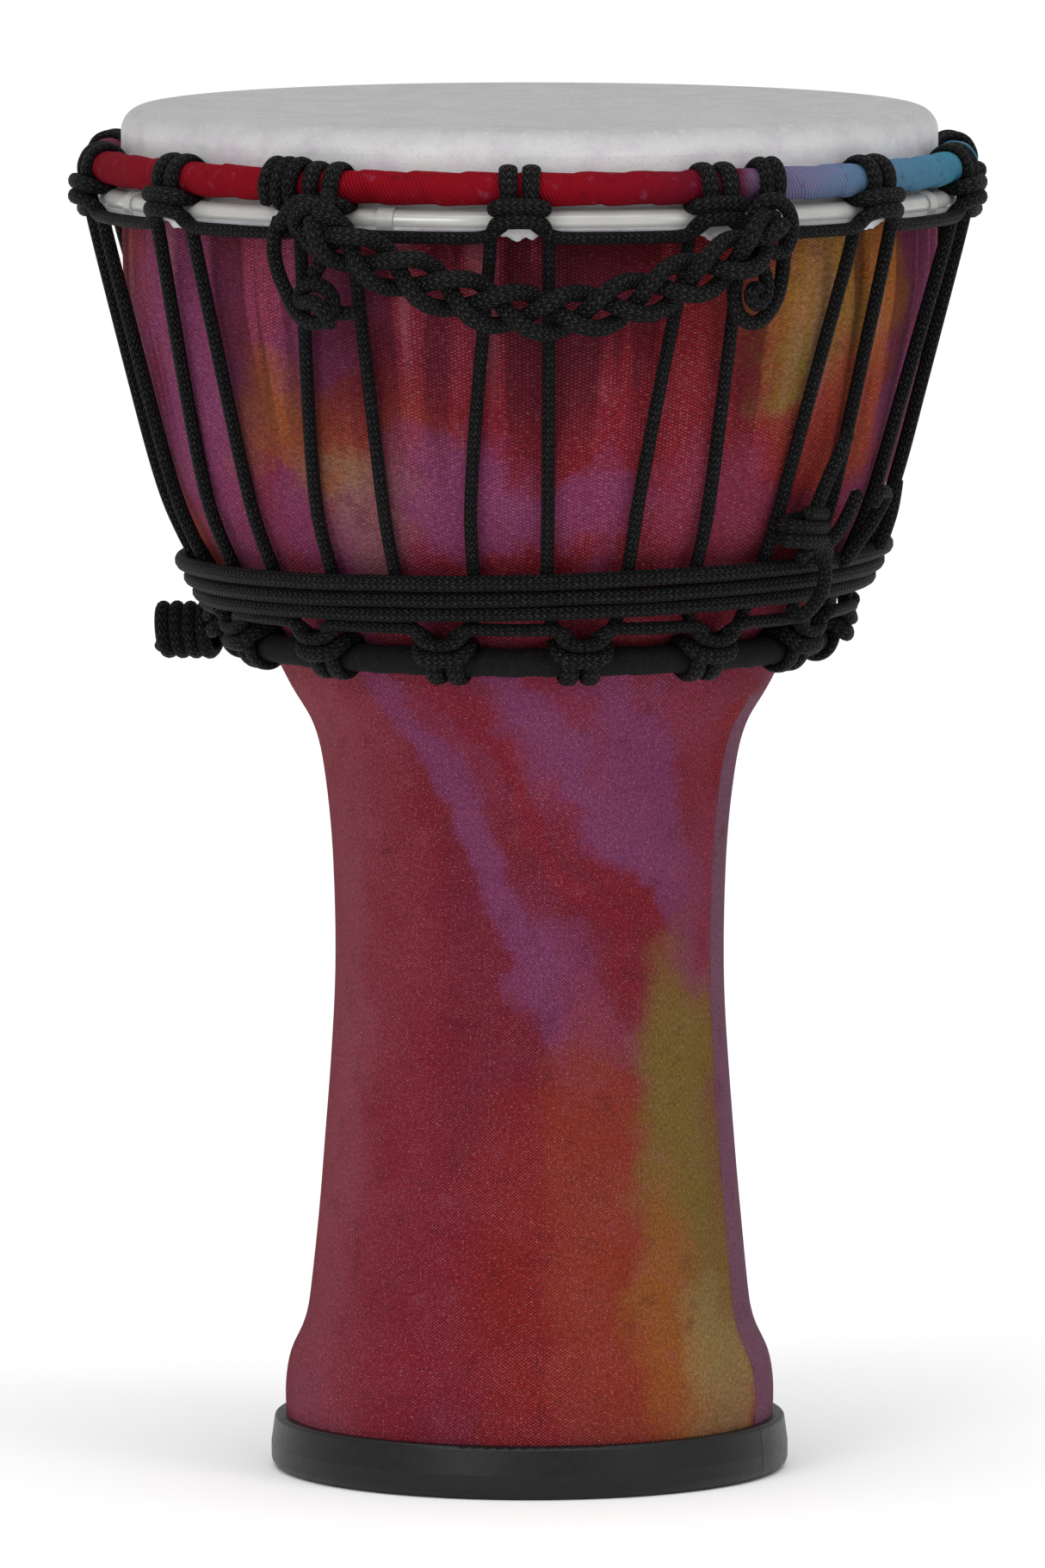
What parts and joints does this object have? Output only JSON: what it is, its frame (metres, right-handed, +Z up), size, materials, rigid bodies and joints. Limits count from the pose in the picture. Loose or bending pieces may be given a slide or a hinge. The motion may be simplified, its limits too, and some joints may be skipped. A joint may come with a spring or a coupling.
{
  "type": "djembe",
  "caption": "Rope-tuned goblet drum with tie-dyed cloth on its shell, a film head, cow-hitched tension ropes and a braided rope handle that swings.",
  "frame": {"origin": "centre of the open mouth in the foot, on the surface the drum stands on", "axes": "+Z up the drum's axis to the playing surface, -Y toward the side with the handle"},
  "size_m": [0.2584, 0.2646, 0.384],
  "materials": {
    "shell_plastic": "matte moulded shell",
    "tie_dye_cloth": "tie-dyed woven polyester cloth in crimson, violet, orange and olive",
    "foot_rubber": "satin black rubber",
    "head_film": "grey-white mottled fibre-texture drumhead film",
    "hoop_plastic": "glossy white tube",
    "ring_steel": "plain steel rod",
    "crown_cloth": "tie-dyed cloth wound round the crown ring, red to blue",
    "black_cloth": "black cloth wound round the lower ring",
    "black_rope": "black braided polyester rope"
  },
  "bodies": {
    "drum": {"bottom_hitch_01": "black_rope", "bottom_hitch_02": "black_rope", "bottom_hitch_03": "black_rope", "bottom_hitch_04": "black_rope", "bottom_hitch_05": "black_rope", "bottom_hitch_06": "black_rope", "bottom_hitch_07": "black_rope", "bottom_hitch_08": "black_rope", "bottom_hitch_09": "black_rope", "bottom_hitch_10": "black_rope", "bottom_hitch_11": "black_rope", "bottom_hitch_12": "black_rope", "bottom_hitch_13": "black_rope", "bottom_hitch_14": "black_rope", "counter_wraps": "black_rope", "crown_ring_cloth": "crown_cloth", "crown_ring_rod": "ring_steel", "drum_head": "head_film", "fabric_seam": "tie_dye_cloth", "fabric_wrap": "tie_dye_cloth", "flesh_hoop_sleeves": "hoop_plastic", "flesh_hoop_tube": "hoop_plastic", "flesh_hoop_wire": "ring_steel", "foot_ring": "foot_rubber", "handle_tie_left": "black_rope", "handle_tie_right": "black_rope", "lower_ring_cloth": "black_cloth", "lower_ring_rod": "ring_steel", "shell": "shell_plastic", "spare_rope_coil": "black_rope", "tension_rope_01": "black_rope", "tension_rope_02": "black_rope", "tension_rope_03": "black_rope", "tension_rope_04": "black_rope", "tension_rope_05": "black_rope", "tension_rope_06": "black_rope", "tension_rope_07": "black_rope", "tension_rope_08": "black_rope", "tension_rope_09": "black_rope", "tension_rope_10": "black_rope", "tension_rope_11": "black_rope", "tension_rope_12": "black_rope", "tension_rope_13": "black_rope", "tension_rope_14": "black_rope", "tie_off_knot": "black_rope", "top_hitch_01": "black_rope", "top_hitch_02": "black_rope", "top_hitch_03": "black_rope", "top_hitch_04": "black_rope", "top_hitch_05": "black_rope", "top_hitch_06": "black_rope", "top_hitch_07": "black_rope", "top_hitch_08": "black_rope", "top_hitch_09": "black_rope", "top_hitch_10": "black_rope", "top_hitch_11": "black_rope", "top_hitch_12": "black_rope", "top_hitch_13": "black_rope", "top_hitch_14": "black_rope"},
    "handle": {"handle_braid": "black_rope"}
  },
  "joints": [
    {"name": "handle_swing", "type": "hinge", "parent": "drum", "child": "handle", "pos_m": [0.00342, -0.12304, 0.363], "axis": [-0.9995, -0.0194, 0.025], "range_deg": [0, 110]}
  ]
}
